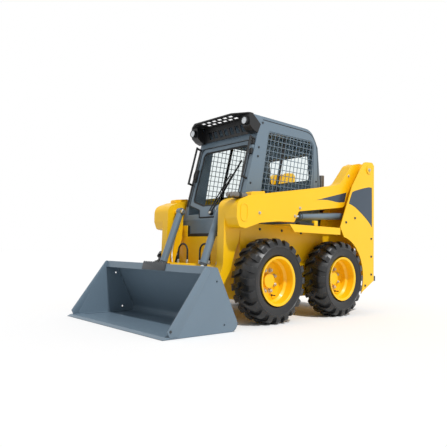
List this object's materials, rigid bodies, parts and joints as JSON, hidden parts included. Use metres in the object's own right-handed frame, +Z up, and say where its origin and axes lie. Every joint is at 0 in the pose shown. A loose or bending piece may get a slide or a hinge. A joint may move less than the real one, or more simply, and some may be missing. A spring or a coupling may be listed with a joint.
{
  "type": "skid steer loader",
  "caption": "Compact wheeled skid steer loader with enclosed cab, twin lift arms on rear towers, hydraulic cylinders and a wide general-purpose bucket.",
  "frame": {"origin": "centre of the bounding box on the ground", "axes": "+Z up, front of the machine toward -Y, its left side toward +X"},
  "size_m": [1.585, 2.978, 1.97],
  "materials": {
    "yellow_paint": "gloss enamel",
    "grey_paint": "satin enamel",
    "dark_paint": "satin enamel",
    "black_plastic": "grained",
    "bare_steel": "ground",
    "chrome_rod": "polished",
    "tyre_rubber": "matt",
    "hose_rubber": "matt",
    "clear_glass": "clear",
    "lamp_lens": "clear",
    "vinyl": "grained",
    "engine_iron": "painted"
  },
  "bodies": {
    "chassis": {"main_frame": "yellow_paint", "fenders": "yellow_paint", "tower_left": "yellow_paint", "tower_right": "yellow_paint", "engine_block": "engine_iron", "axle_tubes": "dark_paint", "rear_bumper": "dark_paint", "lamps": "lamp_lens", "exhaust": "dark_paint", "cab_left_side": "grey_paint", "cab_right_side": "grey_paint", "cab_roof": "grey_paint", "cab_rear_wall": "grey_paint", "cab_floor": "grey_paint", "screen_left": "grey_paint", "screen_right": "grey_paint", "cab_glass": "clear_glass", "visor": "black_plastic", "grab_handles": "black_plastic", "seat": "vinyl", "controls": "black_plastic", "cowl": "yellow_paint"},
    "arms": {"arm_left": "yellow_paint", "arm_right": "yellow_paint", "cross_tube": "yellow_paint", "hoses": "hose_rubber"},
    "tool": {"hitch": "grey_paint", "bucket_shell": "grey_paint", "bucket_side_left": "grey_paint", "bucket_side_right": "grey_paint", "cutting_edge": "bare_steel"},
    "lift_barrels": {"lift_barrels": "grey_paint"},
    "lift_rods": {"lift_rods": "chrome_rod"},
    "tilt_barrels": {"tilt_barrels": "grey_paint"},
    "tilt_rods": {"tilt_rods": "chrome_rod"},
    "cab_door": {"door_frame": "grey_paint", "door_glass": "clear_glass", "wiper": "black_plastic"},
    "rear_door": {"rear_door": "yellow_paint"},
    "hood": {"hood": "yellow_paint"},
    "wheel_fl": {"tyre_fl": "tyre_rubber", "rim_fl": "yellow_paint"},
    "wheel_fr": {"tyre_fr": "tyre_rubber", "rim_fr": "yellow_paint"},
    "wheel_rl": {"tyre_rl": "tyre_rubber", "rim_rl": "yellow_paint"},
    "wheel_rr": {"tyre_rr": "tyre_rubber", "rim_rr": "yellow_paint"}
  },
  "joints": [
    {"name": "arm_lift", "type": "hinge", "parent": "chassis", "child": "arms", "pos_m": [0, 1.323, 1.592], "axis": [-1, 0, 0], "range_deg": [0, 68]},
    {"name": "bucket_tilt", "type": "hinge", "parent": "arms", "child": "tool", "pos_m": [0, -0.732, 0.192], "axis": [1, 0, 0], "range_deg": [-22, 104]},
    {"name": "lift_barrel_swing", "type": "hinge", "parent": "chassis", "child": "lift_barrels", "pos_m": [0, 1.083, 1.06], "axis": [-1, 0, 0], "range_deg": [-2, 70]},
    {"name": "lift_rod_slide", "type": "slide", "parent": "lift_barrels", "child": "lift_rods", "axis": [0, -0.998, -0.063], "range_m": [-0.005, 0.7]},
    {"name": "tilt_barrel_swing", "type": "hinge", "parent": "arms", "child": "tilt_barrels", "pos_m": [0, -0.539, 1.04], "axis": [1, 0, 0], "range_deg": [-8, 8]},
    {"name": "tilt_rod_slide", "type": "slide", "parent": "tilt_barrels", "child": "tilt_rods", "axis": [0, -0.3546, -0.935], "range_m": [-0.09, 0.34]},
    {"name": "cab_door_swing", "type": "hinge", "parent": "chassis", "child": "cab_door", "pos_m": [0.385, -0.42746, 0.96411], "axis": [0, 0.2571, 0.9664], "range_deg": [0, 95]},
    {"name": "rear_door_swing", "type": "hinge", "parent": "chassis", "child": "rear_door", "pos_m": [0.461, 1.45, 0.76], "axis": [0, 0, -1], "range_deg": [0, 105]},
    {"name": "hood_lift", "type": "hinge", "parent": "chassis", "child": "hood", "pos_m": [0, 1.156, 1.228], "axis": [1, 0, 0], "range_deg": [0, 60]},
    {"name": "wheel_fl_spin", "type": "hinge", "parent": "chassis", "child": "wheel_fl", "pos_m": [0.625, -0.207, 0.387], "axis": [1, 0, 0], "continuous": true},
    {"name": "wheel_fr_spin", "type": "hinge", "parent": "chassis", "child": "wheel_fr", "pos_m": [-0.625, -0.207, 0.387], "axis": [1, 0, 0], "continuous": true},
    {"name": "wheel_rl_spin", "type": "hinge", "parent": "chassis", "child": "wheel_rl", "pos_m": [0.625, 0.783, 0.387], "axis": [1, 0, 0], "continuous": true},
    {"name": "wheel_rr_spin", "type": "hinge", "parent": "chassis", "child": "wheel_rr", "pos_m": [-0.625, 0.783, 0.387], "axis": [1, 0, 0], "continuous": true}
  ],
  "couplings": [
    {"joint": "lift_barrel_swing", "follows": "arm_lift", "ratio": 0.96349},
    {"joint": "lift_rod_slide", "follows": "arm_lift", "m_per_rad": 0.54812},
    {"joint": "tilt_barrel_swing", "follows": "bucket_tilt", "ratio": -0.020652},
    {"joint": "tilt_rod_slide", "follows": "bucket_tilt", "m_per_rad": 0.14334}
  ]
}
